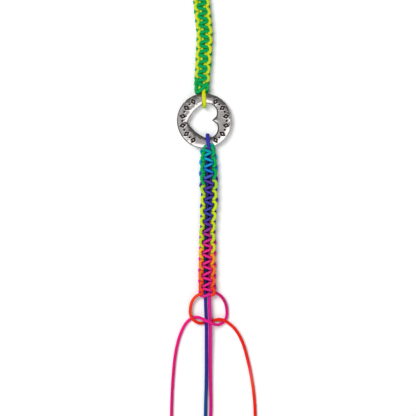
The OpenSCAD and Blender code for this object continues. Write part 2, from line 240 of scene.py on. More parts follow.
# Dyes along each cord, from the ring outwards. Columns: half knots tied, or share of the
# cord's length where there are no knots, and the colour as the photograph shows it
GREEN_DYE = [[0, "#0AAF50"], [2, "#05AA5F"], [8, "#02AA5A"], [30, "#05A555"]]
YELLOW_DYE = [
    [0, "#0AAF50"], [1.9, "#14AF4B"], [2, "#C8D732"], [4, "#D2E123"], [8, "#DCE61E"],
    [14, "#D7E41E"], [30, "#E1E11E"]]
UPPER_CORE_DYE = [[0, "#F0FF32"], [0.05, "#DCFF46"], [0.5, "#D7FF50"], [1, "#E6FA46"]]
UPPER_LOOP_DYE = [
    [0, "#E6E914"], [0.3, "#DDE51A"], [0.42, "#C3DE1E"], [0.5, "#8CC828"], [0.7, "#C8DC1E"],
    [1, "#DCE61E"]]
LOWER_FRONT_DYE = [
    [0, "#05AF87"], [0.6, "#0AA8A5"], [1, "#0AAFC3"], [2, "#0AB4DC"], [3, "#19AAE6"],
    [4, "#1991E6"], [5, "#1E78DC"], [5.6, "#5064C8"], [6, "#643CB4"], [8, "#5541AA"],
    [10, "#4646B4"], [12, "#4650B9"], [14, "#503CAA"], [15, "#823CAA"], [15.6, "#AF37A5"],
    [17, "#D237A5"], [18.3, "#EB2D9B"], [19, "#FF2D96"], [28, "#F5289B"]]
LOWER_BACK_DYE = [
    [0, "#05AF82"], [0.6, "#05B060"], [1, "#00B450"], [5.9, "#05B450"], [6, "#AFE632"],
    [6.8, "#96DC32"], [8, "#C8E628"], [10, "#D7F01E"], [17, "#C8E61E"], [18.6, "#E1DC23"],
    [19, "#FFC80F"], [20, "#FFA50F"], [21.4, "#FF8719"], [23, "#FF6E1E"], [25, "#FF551E"],
    [28, "#FF4619"]]
LOWER_LOOP_DYE = [[0, "#3C289B"], [0.25, "#3C3CAF"], [0.5, "#3232A0"], [1, "#3C289B"]]
LOWER_CORE_LEFT_DYE = [
    [0, "#3C289B"], [0.1, "#463CAA"], [0.4, "#3C46A5"], [0.5, "#193C8C"], [0.8, "#1E418C"],
    [1, "#2D288C"]]
LOWER_CORE_RIGHT_DYE = [
    [0, "#3C289B"], [0.1, "#5541AA"], [0.46, "#503CAA"], [0.475, "#F0289B"], [1, "#E6199B"]]
# The pink end's first stretch, where it leaves the band, is painted darker: painted shade
PINK_END_DYE_AND_SHADE = [
    [0, "#DC0F78"], [0.08, "#D20A6E"], [0.15, "#EB148C"], [0.3, "#FA1E96"], [0.42, "#FF198C"],
    [0.6, "#F0147D"], [0.8, "#E6147D"], [1, "#E1197D"]]
RED_END_DYE = [
    [0, "#FF4619"], [0.1, "#FF411C"], [0.22, "#F52814"], [0.45, "#FA2314"], [0.58, "#FA2314"],
    [0.64, "#FF2328"], [0.7, "#FF4B55"], [0.75, "#FF5037"], [0.82, "#FA3214"], [0.88, "#FF1E14"],
    [1, "#E6280F"]]
BLUE_END_DYE = [
    [0, "#32288C"], [0.4, "#3C2896"], [0.62, "#233796"], [0.8, "#144B96"], [1, "#0F4B8C"]]
PINK_CORE_DYE = [[0, "#E6199B"], [0.4, "#E61491"], [0.7, "#DC1482"], [1, "#DC0F8C"]]
GREEN_END_DYE = [[0, "#0AA04B"], [1, "#14A050"]]
YELLOW_END_DYE = [[0, "#E1DC1E"], [1, "#E6D21E"]]
UPPER_CORE_END_DYE = [[0, "#D7E632"], [1, "#DCE628"]]


# Curves

def soft_step(low, high, value):
    """0 below low, 1 above high, and a smooth S between them."""
    share = np.clip((value - low) / (high - low), 0, 1)
    return share * share * (3 - 2 * share)


def smooth_path(points, step=RING_STEP):
    """A path through the points with evenly spaced samples.

    Centripetal Catmull-Rom: each span blends its four neighbours, weighted by knots that lie
    the square root of the points' distance apart. The curve is then resampled by arc length.
    """
    p = np.array(points, float)
    p = np.vstack([2 * p[0] - p[1], p, 2 * p[-1] - p[-2]])
    gaps = np.sqrt(np.linalg.norm(np.diff(p, axis=0), axis=1))
    knots = np.concatenate([[0], np.cumsum(gaps)])
    spans = len(p) - 3
    t0, t1, t2, t3 = (knots[i:i + spans, None, None] for i in range(4))
    p0, p1, p2, p3 = (p[i:i + spans, None, :] for i in range(4))
    t = t1 + (t2 - t1) * np.linspace(0, 1, 40, endpoint=False)[None, :, None]

    def blend(low, high, first, second):
        """From the first to the second as t goes from low to high."""
        return ((high - t) * first + (t - low) * second) / (high - low)

    a1, a2, a3 = blend(t0, t1, p0, p1), blend(t1, t2, p1, p2), blend(t2, t3, p2, p3)
    b1, b2 = blend(t0, t2, a1, a2), blend(t1, t3, a2, a3)
    curve = np.vstack([blend(t1, t2, b1, b2).reshape(-1, 3), p[-2]])
    length = path_length(curve)
    return points_at(curve, np.linspace(0, length, max(2, round(length / step)) + 1))


def path_length(path):
    """The path's arc length."""
    return along_path(path)[-1]


def along_path(path):
    """The arc length at each of the path's samples."""
    return np.concatenate([[0], np.cumsum(np.linalg.norm(np.diff(path, axis=0), axis=1))])


def points_at(path, places):
    """The path's points at the given arc lengths, by straight interpolation."""
    reached = along_path(path)
    return np.stack([np.interp(places, reached, path[:, axis]) for axis in range(3)], axis=1)


def unit(vectors):
    """Each row scaled to length 1."""
    return vectors / np.linalg.norm(vectors, axis=-1, keepdims=True)


def carried_frames(path):
    """Two directions across the path that don't twist about it.

    A first pair comes from a fixed slanting axis. The smallest turn that takes each tangent
    to the next also turns its pair, and the angle left over to the next pair is the twist.
    The running sum of those angles turns each pair back.
    """
    tangent = unit(np.gradient(path, axis=0))
    aside = unit(np.cross(tangent, unit(np.array([0.31, 0.52, 0.79]))))
    across = np.cross(tangent, aside)
    a, b, u = tangent[:-1], tangent[1:], aside[:-1]
    turned = u - (u * b).sum(1, keepdims=True) / (1 + (a * b).sum(1, keepdims=True)) * (a + b)
    twist = np.arctan2((turned * across[1:]).sum(1), (turned * aside[1:]).sum(1))
    angle = np.concatenate([[0], np.cumsum(twist)])[:, None]
    return (np.cos(angle) * aside + np.sin(angle) * across,
            np.cos(angle) * across - np.sin(angle) * aside)


def level_frames(path):
    """Two directions across a path that runs in an upright plane along Y: +X, and across both."""
    tangent = unit(np.gradient(path, axis=0))
    level = unit(np.array([1.0, 0, 0]) - tangent[:, :1] * tangent)
    return level, np.cross(tangent, level)


# Meshes

def braid(around, along):
    """Height of the braid's surface from 0 to 1, and which way its top strand leans.

    Two families of strands wind round the cord, one each way. Each is a row of round ridges,
    sine over its width. The families take turns on top, like a chequerboard of diamonds, and
    the strand on top bows down towards the ends of its diamond.
    """
    left = BRAID_STRANDS * around + along / BRAID_LAY
    right = BRAID_STRANDS * around - along / BRAID_LAY
    left_on_top = (np.floor(left) + np.floor(right)) % 2 == 0
    left_ridge = np.sin(np.pi * (left % 1))
    right_ridge = np.sin(np.pi * (right % 1))
    top = np.where(left_on_top, left_ridge, right_ridge)
    under = np.where(left_on_top, right_ridge, left_ridge)
    return np.sqrt(top) * (0.7 + 0.3 * under), np.where(left_on_top, 1.0, 0.0)


def rings_along(length, radius, melted):
    """Places of a cord's rings, and the share of full thickness at each.

    A melted tip is half a ball: over the last radius the thickness follows a quarter circle,
    and a point closes it. A cord that another piece carries on keeps its full thickness.
    """
    if melted:
        quarter = np.linspace(np.pi / 2, 0, TIP_RINGS, endpoint=False)
        tip, thin = length - radius * (1 - np.cos(quarter)), np.sin(quarter)
    else:
        tip, thin = np.array([length]), np.array([1.0])
    even = np.linspace(0, tip[0], max(2, round(tip[0] / RING_STEP)) + 1)[:-1]
    return np.append(even, tip), np.append(np.ones(len(even)), thin)


def grid_faces(rows, columns, closed=False):
    """Quads between the rows of a grid whose columns wrap. The last row goes on to the first if
    the grid is closed. Otherwise a fan joins each end to a pole, the mesh's last two points."""
    near = np.arange(columns)
    far = (near + 1) % columns
    row = np.arange(rows if closed else rows - 1)[:, None] * columns
    on = (row + columns) % (rows * columns)
    faces = np.stack([row + near, row + far, on + far, on + near], axis=-1).reshape(-1, 4).tolist()
    if not closed:
        pole, last = np.full(columns, rows * columns), (rows - 1) * columns
        faces += np.stack([far, near, pole], axis=1).tolist()
        faces += np.stack([last + near, last + far, pole + 1], axis=1).tolist()
    return faces


def make_piece(name, vertices, faces, attributes, material):
    """An object at the origin whose mesh holds the vertices in metres, smooth shaded."""
    mesh = bpy.data.meshes.new(name)
    mesh.from_pydata((vertices * MM).tolist(), [], faces)
    mesh.polygons.foreach_set("use_smooth", np.ones(len(mesh.polygons), bool))
    for key, values in attributes.items():
        attribute = mesh.attributes.new(key, "FLOAT", "POINT")
        attribute.data.foreach_set("value", np.asarray(values, np.float32))
    mesh.materials.append(material)
    mesh.validate()
    piece = bpy.data.objects.new(name, mesh)
    bpy.context.scene.collection.objects.link(piece)
    return piece


def cord_map(piece, diameter, places):
    """Gives a cord a UV map in millimetres: u runs round it and v along it.

    A face lies between its own column and the next, which on the seam is the full way round.
    """
    columns = CORD_SIDES
    row, column = np.divmod(np.arange((len(places) - 1) * columns), columns)
    around = column[:, None] + np.array([0, 1, 1, 0])
    along = places[row[:, None] + np.array([0, 0, 1, 1])]
    fan = np.arange(columns)[:, None]
    around = np.concatenate([around.ravel(), (fan + [1, 0, 0]).ravel(), (fan + [0, 1, 0]).ravel()])
    along = np.concatenate([along.ravel(), np.repeat(places[[0, -1]], 3 * columns)])
    layer = piece.data.uv_layers.new(name="cord")
    around = around / columns * math.pi * diameter
    layer.data.foreach_set("uv", np.stack([around, along], axis=1).ravel())


def cord_piece(name, path, diameter, dye, band=None, melted=False, squash=None,
               end_diameters=None, start_run=END_RUN):
    """A round braided cord carried along a path, and closed by a point at each end.

    Each ring is a circle in the plane across the path. Its radius is half the diameter, less
    the braid's depth where the braid is low, times the share of thickness near a melted tip.
    Close to the ends the diameter runs over into the end diameters. squash widens the circle
    across and thins it in height, except there. A band shades its cords in its knots.
    """
    material = braided_nylon(name + "_nylon", dye, band.deep if band else "#101010")
    length = path_length(path)
    places, thickness = rings_along(length, diameter / 2, melted)
    at_start = 1 - soft_step(0, start_run, places)
    at_end = 1 - soft_step(0, END_RUN, length - places)
    first, last = end_diameters or (diameter, diameter)
    thickness = thickness + at_start * (first / diameter - 1) + at_end * (last / diameter - 1)
    wide, high = (1 + (share - 1) * (1 - at_start - at_end)[:, None] for share in squash or (1, 1))
    frames = level_frames if squash else carried_frames
    nearest = np.clip(np.searchsorted(along_path(path), places), 0, len(path) - 1)
    aside, across = (directions[nearest, None] for directions in frames(path))
    around = (np.arange(CORD_SIDES) + 0.5) / CORD_SIDES
    angle = 2 * np.pi * around
    height, lean = braid(around, places[:, None] + 0 * around)
    radius = (diameter / 2 - BRAID_DEPTH * (1 - height)) * thickness[:, None]
    rings = (points_at(path, places)[:, None]
             + (radius * np.cos(angle) * wide)[..., None] * aside
             + (radius * np.sin(angle) * high)[..., None] * across)
    vertices = np.vstack([rings.reshape(-1, 3), path[0], path[-1]])
    attributes = {"along": np.append(np.repeat(places / length, CORD_SIDES), [0, 1]),
                  "open": band.openness(vertices) if band else np.ones(len(vertices)),
                  "relief": np.append(height, [0.5, 0.5]),
                  "lean": np.append(lean, [0, 0])}
    piece = make_piece(name, vertices, grid_faces(len(places), CORD_SIDES), attributes, material)
    cord_map(piece, diameter, places)
    return piece


# Materials

def linear(colour):
    """An sRGB hex colour as linear RGB with alpha 1."""
    parts = np.array([int(colour[i:i + 2], 16) / 255 for i in (1, 3, 5)])
    parts = np.where(parts <= 0.04045, parts / 12.92, ((parts + 0.055) / 1.055) ** 2.4)
    return (*parts.tolist(), 1.0)


def add_node(tree, kind, inputs=None, **settings):
    """Adds a node with its settings. An input given as a socket is linked, any other is set."""
    node = tree.nodes.new(kind)
    for key, value in settings.items():
        setattr(node, key, value)
    for key, value in (inputs or {}).items():
        if isinstance(value, bpy.types.NodeSocket):
            tree.links.new(value, node.inputs[key])
        else:
            node.inputs[key].default_value = value
    return node


def mesh_value(tree, name):
    """A value that the mesh holds at each of its points."""
    return add_node(tree, "ShaderNodeAttribute", attribute_name=name).outputs["Fac"]


def noise(tree, place, scale, detail=2.0, roughness=0.5):
    """Cloudy noise with about scale waves to the unit of length."""
    inputs = {"Vector": place, "Scale": scale, "Detail": detail, "Roughness": roughness}
    return add_node(tree, "ShaderNodeTexNoise", inputs).outputs["Fac"]


def body_noise(tree, size, detail=2.0, roughness=0.5):
    """Cloudy noise through the piece itself, with waves of about size in millimetres."""
    body = add_node(tree, "ShaderNodeTexCoord").outputs["Object"]
    return noise(tree, body, 1 / (size * MM), detail, roughness)


def mapped(tree, value, low, high, to_low=0.0, to_high=1.0, curve="LINEAR"):
    """A value's way from low to high, turned into the way from to_low to to_high."""
    inputs = {"Value": value, "From Min": low, "From Max": high, "To Min": to_low,
              "To Max": to_high}
    return add_node(tree, "ShaderNodeMapRange", inputs, interpolation_type=curve).outputs["Result"]


def mixed(tree, share, first, second):
    """A value that goes from the first to the second as share goes from 0 to 1."""
    return add_node(tree, "ShaderNodeMix", {0: share, 2: first, 3: second}).outputs[0]


def mixed_colour(tree, share, first, second):
    """A colour that goes from the first to the second as share goes from 0 to 1."""
    inputs = {0: share, 6: first, 7: second}
    return add_node(tree, "ShaderNodeMix", inputs, data_type="RGBA").outputs[2]


def add_bump(tree, shader, height, strength, distance):
    """Lets a height tilt the light on the surface, by up to distance in millimetres."""
    inputs = {"Strength": strength, "Distance": distance * MM, "Height": height}
    bump = add_node(tree, "ShaderNodeBump", inputs)
    tree.links.new(bump.outputs["Normal"], shader.inputs["Normal"])


def new_material(name, **sockets):
    """A material with one Principled shader whose named sockets are set to constants."""
    material = bpy.data.materials.new(name)
    material.use_nodes = True
    shader = material.node_tree.nodes["Principled BSDF"]
    for key, value in sockets.items():
        shader.inputs[key.replace("_", " ")].default_value = value
    return material, material.node_tree, shader


def dyed(colour):
    """A cord's own colour for one read from the photograph, whose light clips its white table
    and so shows the cords brighter than they are."""
    return (*(np.array(linear(colour)[:3]) / EXPOSURE).tolist(), 1.0)


def dye_ramp(tree, place, dye):
    """A colour ramp that holds a dye table's colours at their shares of the cord's length."""
    ramp = add_node(tree, "ShaderNodeValToRGB", {"Fac": place})
    stops = ramp.color_ramp.elements
    stops[0].position, stops[0].color = dye[0][0], dyed(dye[0][1])
    stops[1].position, stops[1].color = dye[-1][0], dyed(dye[-1][1])
    for share, colour in dye[1:-1]:
        stops.new(share).color = dyed(colour)
    return ramp.outputs["Color"]


def braided_nylon(name, dye, deep):
    """Braided nylon cord, dyed by hand in stretches that run into each other.

    Nylon's filaments give a satin gloss. The gaps between the strands are painted darker, as shade.
    deep is the colour painted as shade where the mesh says that no light comes in.
    """
    material, tree, shader = new_material(name, Roughness=0.45, IOR=1.53,
                                          Specular_IOR_Level=0.1)
    # The dye bleeds unevenly, over about 3 mm
    shift = mapped(tree, body_noise(tree, 3), 0.3, 0.7, -0.006, 0.006)
    place = add_node(tree, "ShaderNodeMath", {0: mesh_value(tree, "along"), 1: shift},
                     operation="ADD", use_clamp=True)
    colour = dye_ramp(tree, place.outputs["Value"], dye)
    # Painted shade: deep between the knots light comes only off the neighbouring cords, so there
    # the colour goes over to deep, the colour of their light
    lit = mixed_colour(tree, mesh_value(tree, "open"), dyed(deep), colour)
    # Painted shade: the braid's low places are darkened in the colour
    valley_shade = mapped(tree, mesh_value(tree, "relief"), 0, 0.8, 0.5, 1)
    shaded = add_node(tree, "ShaderNodeHueSaturation", {"Color": lit, "Value": valley_shade})
    tree.links.new(shaded.outputs["Color"], shader.inputs["Base Color"])
    # Filaments are 0.03 mm thick. They are drawn 0.1 mm wide, so that a close view shows them
    flat = add_node(tree, "ShaderNodeUVMap", uv_map="cord").outputs["UV"]
    strands = []
    for turn in (math.radians(48), math.radians(-48)):
        inputs = {"Vector": flat, "Rotation": (0, 0, turn), "Scale": (10, 1.2, 1)}
        leaning = add_node(tree, "ShaderNodeMapping", inputs)
        strands.append(noise(tree, leaning.outputs["Vector"], 1))
    add_bump(tree, shader, mixed(tree, mesh_value(tree, "lean"), *strands), 0.5, 0.03)
    return material


def antiqued_pewter():
    """Cast pewter, tumbled bright, with a dark oxide left in the stamped marks, and a dark line
    painted along its edges, a painted reflection of the dark surroundings that the edges mirror.
    """
    material, tree, shader = new_material("antiqued_pewter")
    # The oxide is worn off unevenly, in patches of about 0.5 mm
    worn = mapped(tree, body_noise(tree, 0.5, 4), 0.35, 0.65, -0.12, 0.12)
    # The mask holds the oxide in the marks and the painted dark line along the edges, a painted
    # reflection
    left = add_node(tree, "ShaderNodeMath", {0: mesh_value(tree, "oxide_and_painted_reflection"), 1: worn},
                    operation="ADD")
    oxide = mapped(tree, left.outputs["Value"], 0.15, 0.5, curve="SMOOTHSTEP")
    looks = {"Base Color": mixed_colour(tree, oxide, linear("#F2ECEA"), linear("#1E1214")),
             "Metallic": mapped(tree, oxide, 0, 1, 1, 0.25),
             "Roughness": mapped(tree, oxide, 0, 1, 0.14, 0.6)}
    for socket, value in looks.items():
        tree.links.new(value, shader.inputs[socket])
    # A tumbled casting keeps shallow waves about 2 mm long and a finer grain
    add_bump(tree, shader, body_noise(tree, 2, 3, 0.35), 0.6, 0.3)
    return material


def white_card():
    """Matt white card under the bracelet, faintly mottled in tone."""
    material, tree, shader = new_material("white_card", Roughness=0.85, Specular_IOR_Level=0.2)
    tone = mixed_colour(tree, body_noise(tree, 1.5), linear("#F3F4F4"), linear("#F7F8F8"))
    tree.links.new(tone, shader.inputs["Base Color"])
    return material


# The ring

RING_LOW, RING_HIGH = (np.array(corner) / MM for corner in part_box("ring_charm"))
RING_R = (RING_HIGH[0] - RING_LOW[0]) / 2
RING_BOTTOM, RING_TOP = RING_LOW[2], RING_HIGH[2]
# The face falls over a shoulder at the rim, part of an ellipse, and over a slope to the heart
SHOULDER = 2.5
SHOULDER_FALL = 0.7
SHOULDER_PART = 0.92
HEART_SLOPE = 1.9
HEART_SLOPE_FALL = 0.36
# Both edges have a bevel with a small round at its foot. A dark line painted along both edges
# is a painted reflection of the dark surroundings that the edges mirror
HEART_EDGE = 0.5
OUTER_EDGE = 0.38
BEVEL_SLOPE = 0.4
BEVEL_ROUND = 0.1
# How far from an edge the painted dark line fades out, and how dark it is
PAINTED_EDGE_LINE_SPAN = (0.08, 0.28)
PAINTED_EDGE_LINE_DARKNESS = 0.55
# The heart before it is turned, with its point to the left. A lobe and a side are arcs, and
# two straight facets meet in the cleft
HEART_POINT = np.array([-6.8, 0])
HEART_LOBE = np.array([1.3, 3.05])
HEART_LOBE_R = 3.9
HEART_SIDE_R = 14.0
HEART_TURN = math.radians(3.3)
HEART_CLEFT = 3.05
HEART_CLEFT_HALF = math.radians(38.5)
# The marks lie on one circle, cut in with a raised lip. A lozenge is a groove whose middle
# runs at a share of the lozenge's half length and half width
MARK_R = RING_R - 2.1
MARK_DEPTH = 0.3
MARK_LIP = 0.05
LOZENGE = np.array([2.3, 1.6]) / 2
GROOVE_AT = 0.86
GROOVE_HALF = 0.27
DOT_R = 0.42
LOZENGES = 6
LOZENGE_STEP = math.radians(24)
# The grid: places round the ring, rows over an edge and over the face, and how many of the
# face's rows one row below stands for
RING_COLUMNS = 720
EDGE_ROWS = 9
FACE_ROWS = 80
ROWS_BELOW = 10


def heart_side_centre():
    """Centre of the heart's long upper side, an arc through the point that the lobe touches from
    inside: its radius from the point, and the radii's difference from the lobe's centre."""
    to_lobe = HEART_LOBE - HEART_POINT
    apart = np.linalg.norm(to_lobe)
    to_lobe = to_lobe / apart
    along = (HEART_SIDE_R ** 2 - (HEART_SIDE_R - HEART_LOBE_R) ** 2 + apart ** 2) / (2 * apart)
    aside = math.sqrt(HEART_SIDE_R ** 2 - along ** 2)
    return HEART_POINT + along * to_lobe + aside * np.array([to_lobe[1], -to_lobe[0]])


def heart_distance(x, y):
    """Distance outside the heart hole's outline, which mirrors itself in its middle line: from
    the side's arc up to where it touches the lobe, else from the lobe's circle, and from the
    two straight facets that meet in the cleft."""
    cos, sin = math.cos(HEART_TURN), math.sin(HEART_TURN)
    u, v = x * cos + y * sin, np.abs(y * cos - x * sin)
    side = heart_side_centre()
    touch = unit(HEART_LOBE - side)
    on_side = touch[0] * (v - side[1]) - touch[1] * (u - side[0]) > 0
    round_part = np.where(on_side, np.hypot(u - side[0], v - side[1]) - HEART_SIDE_R,
                          np.hypot(u - HEART_LOBE[0], v - HEART_LOBE[1]) - HEART_LOBE_R)
    facet = (u - HEART_CLEFT) * math.sin(HEART_CLEFT_HALF) - v * math.cos(HEART_CLEFT_HALF)
    return np.maximum(round_part, facet)


def heart_radius(angle):
    """Distance of the heart's outline from the ring's centre, found by halving 40 times."""
    low, high = np.zeros_like(angle), np.full_like(angle, RING_R)
    for _ in range(40):
        middle = (low + high) / 2
        inside = heart_distance(middle * np.cos(angle), middle * np.sin(angle)) < 0
        low, high = np.where(inside, middle, low), np.where(inside, high, middle)
    return (low + high) / 2


def stamped(x, y):
    """How deep the marks are cut, and how high the metal stands round them, from 0 to 1:
    grooved lozenges with a dot between each two, along the left and right of the ring."""
    radius, angle = np.hypot(x, y), np.arctan2(y, x)
    nearest = np.full_like(x, RING_R)
    for side in (0, math.pi):
        turn = (angle - side + math.pi) % (2 * math.pi) - math.pi
        slot = turn / LOZENGE_STEP + (LOZENGES - 1) / 2
        lozenge = np.clip(np.round(slot), 0, LOZENGES - 1)
        away = (slot - lozenge) * LOZENGE_STEP
        out, across = radius * np.cos(away) - MARK_R, radius * np.sin(away)
        size = np.abs(out) / LOZENGE[0] + np.abs(across) / LOZENGE[1]
        edge = np.abs(size - GROOVE_AT) / np.hypot(1 / LOZENGE[0], 1 / LOZENGE[1])
        nearest = np.minimum(nearest, edge - GROOVE_HALF)
        dot = np.clip(np.round(slot - 0.5), 0, LOZENGES - 2) + 0.5
        away = (slot - dot) * LOZENGE_STEP
        apart = np.hypot(radius * np.cos(away) - MARK_R, radius * np.sin(away))
        nearest = np.minimum(nearest, apart - DOT_R)
    lip = soft_step(-0.02, 0.1, nearest) * (1 - soft_step(0.1, 0.4, nearest))
    return 1 - soft_step(-0.1, 0.05, nearest), lip


def worn_bevel(distance, size):
    """How far a bevelled edge falls: straight over its size, and then by a quarter circle."""
    share = np.clip(1 - distance / BEVEL_ROUND, 0, 1)
    straight = BEVEL_SLOPE * np.clip(size - distance, 0, None)
    return straight + BEVEL_ROUND * (1 - np.sqrt(1 - share ** 2))


def ring_piece(material):
    """The ring: a closed grid of angle by place round the metal's section.

    The section's rows run from the heart's edge over the face to the outer edge, and back
    under it. The face is level in its middle, falls by part of an ellipse over the shoulder
    and by a square law towards the heart, is bevelled at both edges, and is cut where the
    marks are stamped. The mesh also holds where oxide stays, in the cuts, and a painted dark
    line at both edges, a painted reflection of the dark surroundings that the edges mirror.
    """
    angle = np.linspace(0, 2 * np.pi, RING_COLUMNS, endpoint=False)
    inner = heart_radius(angle)
    edge_rows = 1 - np.cos(np.linspace(0, np.pi / 2, EDGE_ROWS))
    face_rows = np.linspace(0, 1, FACE_ROWS)[1:-1]
    width = RING_R - inner
    inner_band = edge_rows[:, None] * HEART_EDGE
    outer_band = width - edge_rows[::-1, None] * OUTER_EDGE
    middle = HEART_EDGE + face_rows[:, None] * (width - HEART_EDGE - OUTER_EDGE)
    out = np.vstack([inner_band + 0 * width, middle, outer_band])
    radius = inner + out
    x, y = radius * np.cos(angle), radius * np.sin(angle)
    from_heart = np.maximum(heart_distance(x, y), 0)
    from_rim = RING_R - radius
    bevels = worn_bevel(from_rim, OUTER_EDGE) + worn_bevel(from_heart, HEART_EDGE)
    share = np.clip(1 - from_rim / SHOULDER, 0, 1)
    shoulder = SHOULDER_FALL * (1 - np.sqrt(1 - SHOULDER_PART * share ** 2))
    slope = HEART_SLOPE_FALL * (1 - np.clip(from_heart / HEART_SLOPE, 0, 1)) ** 2
    cut, lip = stamped(x, y)
    # Marks fade out at the heart's edge
    clear = soft_step(0.15, 0.5, from_heart)
    top = RING_TOP - shoulder - bevels - slope - (MARK_DEPTH * cut - MARK_LIP * lip) * clear
    count = len(out)
    under_rows = np.r_[count - 1:count - EDGE_ROWS - 1:-1,
                       count - 2 * ROWS_BELOW:EDGE_ROWS:-ROWS_BELOW, EDGE_ROWS - 1:-1:-1]
    radius = np.vstack([radius, radius[under_rows]])
    height = np.vstack([top, (RING_BOTTOM + bevels)[under_rows]])
    # Painted reflection: a dark line along both edges of the face
    line = PAINTED_EDGE_LINE_DARKNESS * (1 - soft_step(*PAINTED_EDGE_LINE_SPAN, np.minimum(from_rim, from_heart)))
    oxide_and_painted_reflection = np.vstack([np.maximum(cut, line), np.zeros((len(under_rows), RING_COLUMNS))])
    ring = np.stack([radius * np.cos(angle), radius * np.sin(angle), height], axis=-1)
    faces = grid_faces(len(radius), RING_COLUMNS, closed=True)
    return make_piece("pewter_ring", ring.reshape(-1, 3), faces, {"oxide_and_painted_reflection": oxide_and_painted_reflection.ravel()}, material)


# The bands and their cords

def extent(node):
    """How near to the ring's middle and how far from it a node's box lies, and its top."""
    low, high = (np.array(corner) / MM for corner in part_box(node))
    return *sorted([abs(low[1]), abs(high[1])]), high[2]


class Band:
    """A knotted band in its own coordinates: across, down from the band's start, and height.
    way is 1 if it runs up the picture from the ring, and -1 if it runs down."""

    def __init__(self, node, way, drift, cusps, middles, front_reach, back_reach, front_half,
                 deep, open_above, core_height):
        near, far, _ = extent(node)
        self.node, self.way = node, way
        self.start, self.length = near, far - near
        self.drift = smooth_path([[share * self.length, across, 0] for share, across in drift], 0.5)
        self.cusps = np.array(cusps)
        self.halfway = (self.cusps[:-1] + self.cusps[1:]) / 2
        self.middles = self.halfway.copy()
        self.middles[list(middles)] = list(middles.values())
        self.side = np.where(np.arange(len(cusps)) % 2 == 0, 1.0, -1.0)
        self.front_reach, self.back_reach = self.reach(front_reach), self.reach(back_reach)
        self.deep, self.open_above = deep, open_above
        self.front_half = np.array(front_half)
        self.core_height = core_height

    def reach(self, table):
        """How far out each cusp lies, from the column of its side."""
        down, left, right = np.array(table).T
        return np.where(self.side < 0, np.interp(self.cusps, down, left),
                        np.interp(self.cusps, down, right))

    def middle_at(self, down):
        """How far across the band's middle lies."""
        return np.interp(down, self.drift[:, 0], self.drift[:, 1])

    def placed(self, points):
        """Band coordinates turned into the frame's, with the band's drift."""
        across, down, height = np.array(points, float).T
        return np.stack([self.middle_at(down) + across, self.way * (self.start + down), height],
                        axis=1)

    def end_route(self, route):
        """A loose cord's route from the middle of the band's far end, in the frame's place."""
        return np.array(route) + [self.drift[-1, 1], self.way * (self.start + self.length), 0]

    def openness(self, points):
        """How open to the light a place in the knots is: 1 on top, at the sides and at both
        ends, and 0 deep between the cords and where two crossings meet, across from a cusp."""
        down = self.way * points[..., 1] - self.start
        across = points[..., 0] - self.middle_at(down)
        side = self.side[np.searchsorted(self.halfway, down)]
        narrow = soft_step(-0.4, 0.3, -across * side)
        narrow = narrow * (1 - soft_step(2.5, 3.0, points[..., 2]))
        above = soft_step(*self.open_above, points[..., 2]) * (1 - 0.9 * narrow)
        beside = soft_step(2.3, 2.9, np.abs(across))
        past = 1 - soft_step(-1.4, -0.6, down) * (1 - soft_step(-1.5, 0, down - self.length))
        return np.maximum(np.maximum(above, beside), past)


def between(band, table, reach, cusps, middles):
    """Points of a table whose columns are share of the reach across, share of the way from a
    cusp to a crossing's middle, and height. One row of points for each cusp."""
    out = (band.side * reach)[cusps, None]
    cusp, middle = band.cusps[cusps, None], band.middles[middles, None]
    return np.stack([out * table[:, 0], cusp + table[:, 1] * (middle - cusp),
                     table[:, 2] + 0 * cusp], axis=-1)


def front_points(band, start, end):
    """The front cord, and where each half knot of it begins.

    Each crossing runs from its turn at a cusp down to the middle of the band, and then the
    same half turned round on to the next cusp. The start's own points stand for the first,
    and the last stops a point short of its cusp, on its way out.
    """
    half, reach = band.front_half, band.front_reach
    out = between(band, half, reach, slice(1, -1), slice(1, None))
    back = between(band, half[-2:0:-1], reach, slice(2, None), slice(1, None))
    crossings = hand_work(np.concatenate([out, back], axis=1))
    rows = len(half) * 2 - 2
    begins = np.concatenate([[0, len(start)], len(start) + rows * np.arange(1, len(crossings))])
    return np.vstack([start, crossings.reshape(-1, 3)[:-1], *end]), begins


def back_points(band, start, end):
    """The back cord, and where each half knot of it begins.

    The start's own points make a part loop on the left. Then the cord goes behind the core
    and up at each cusp in turn, round the side loop, and down at the cusp after next.
    """
    rise, fall = np.array(BACK_RISE), np.array(BACK_FALL)
    reach = band.back_reach
    rising = between(band, rise, reach, slice(0, -2), slice(0, -1))
    falling = between(band, fall, reach, slice(2, None), slice(1, None))
    down = (falling[:, -1:, 1] + band.cusps[1:-1, None]) / 2
    behind = np.stack([0 * down, down, BACK_DOWN + 0 * down], axis=-1)
    loops = hand_work(np.concatenate([rising, falling, behind], axis=1))
    loops = loops.reshape(-1, 3)[len(rise):]
    last = between(band, rise[:3], reach, slice(-2, -1), slice(-1, None))
    rows = len(rise) + len(fall) + 1
    begins = np.arange(len(band.cusps) - 2) * rows + len(start) - len(rise)
    begins[0] = 0
    return np.vstack([start, loops, *last, *end]), begins


hand = np.random.default_rng(seed=11)


def hand_work(knots):
    """The knots' points, uneven as knots pulled tight by hand are: one shift for each knot."""
    shift = hand.normal(0, HAND_SHIFT, (len(knots), 1, 3))
    return knots + np.clip(shift, -HAND_SHIFT_MOST, HAND_SHIFT_MOST)


def held_piece(piece, node):
    """A piece that the part holds all along its way."""
    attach(piece, "root")
    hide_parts(node)


def split_path(points, count):
    """One smooth path through a band's points and a loose end's count of points, parted at the
    loose end's first, so that the two pieces meet without a kink."""
    path = smooth_path(points)
    exit_point = points[-count]
    tail = len(path) // 2
    nearest = tail + np.argmin(np.linalg.norm(path[tail:] - exit_point, axis=1))
    return path[:nearest + 1], path[nearest:]


def by_length(dye, points, begins):
    """A dye table that counts half knots, as one of shares of the cord's length."""
    reached = along_path(points)
    shares = reached[begins] / reached[-1]
    return [[float(np.interp(knot, np.arange(len(begins)), shares)), colour]
            for knot, colour in dye]


